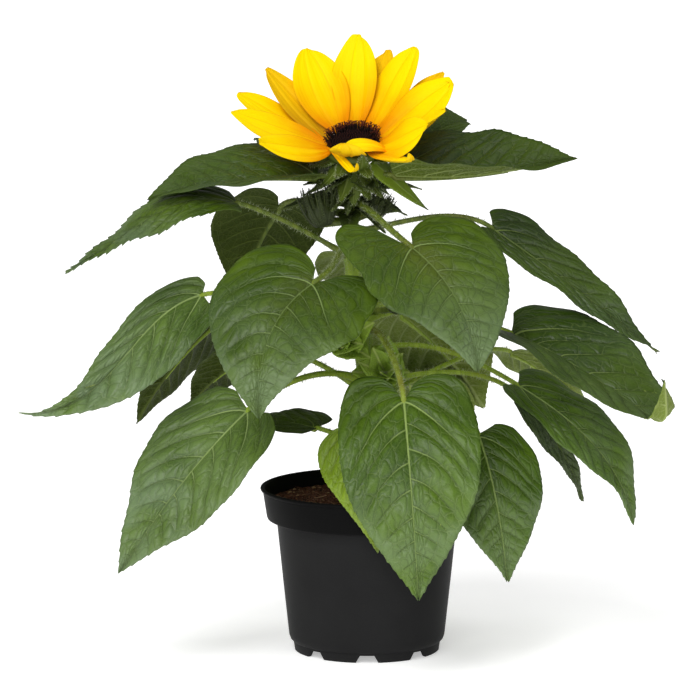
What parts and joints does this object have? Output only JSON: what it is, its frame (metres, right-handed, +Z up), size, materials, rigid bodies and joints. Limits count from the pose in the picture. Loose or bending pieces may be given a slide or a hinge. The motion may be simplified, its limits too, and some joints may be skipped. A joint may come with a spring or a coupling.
{
  "type": "potted sunflower plant",
  "caption": "Dwarf sunflower in a round tapered nursery pot, with an upright stem, heart-shaped leaves on long stalks, closed buds and an open bloom with ray petals round a dark disc.",
  "frame": {"origin": "centre of the pot's flat underside", "axes": "+Z up along the pot's axis, -Y towards the plant's front, +X to the right as seen from the front"},
  "size_m": [0.3643, 0.2193, 0.3451],
  "materials": {
    "pot": "satin",
    "soil": "matte",
    "stem": "matte",
    "leaf": "satin",
    "bud": "matte",
    "bract": "matte",
    "petal": "satin",
    "disc": "matte"
  },
  "bodies": {
    "root": {"pot": "pot", "soil": "soil", "stem": "stem", "leaf_front_low": "leaf", "leaf_front_pale": "leaf", "leaf_front_left": "leaf", "leaf_front_right": "leaf", "leaf_left_low": "leaf", "leaf_left_middle": "leaf", "leaf_left_upper": "leaf", "leaf_left_top": "leaf", "leaf_right_top": "leaf", "leaf_right_upper": "leaf", "leaf_right_middle": "leaf", "leaf_right_lower": "leaf", "leaf_right_low": "leaf", "leaf_right_narrow": "leaf", "leaf_back_left_low": "leaf", "leaf_back_left_under": "leaf", "leaf_left_shaded": "leaf", "leaf_back_left_top": "leaf", "leaf_back_right_middle": "leaf", "leaf_back_right_top": "leaf", "leaf_back_left_tip": "leaf", "leaf_back_middle": "leaf", "leaf_back_low": "leaf", "leaf_back_left_middle": "leaf", "leaf_back_right_low": "leaf", "calyx": "bract", "disc": "disc", "petal_1": "petal", "petal_2": "petal", "petal_3": "petal", "petal_4": "petal", "petal_5": "petal", "petal_6": "petal", "petal_7": "petal", "petal_8": "petal", "petal_9": "petal", "petal_10": "petal", "petal_11": "petal", "petal_12": "petal", "petal_13": "petal", "petal_14": "petal", "petal_15": "petal", "petal_16": "petal", "petal_17": "petal", "bud_left": "bud", "bud_right": "bud", "bud_middle": "bud", "shoot_left": "bract", "shoot_right": "bract"}
  },
  "joints": []
}
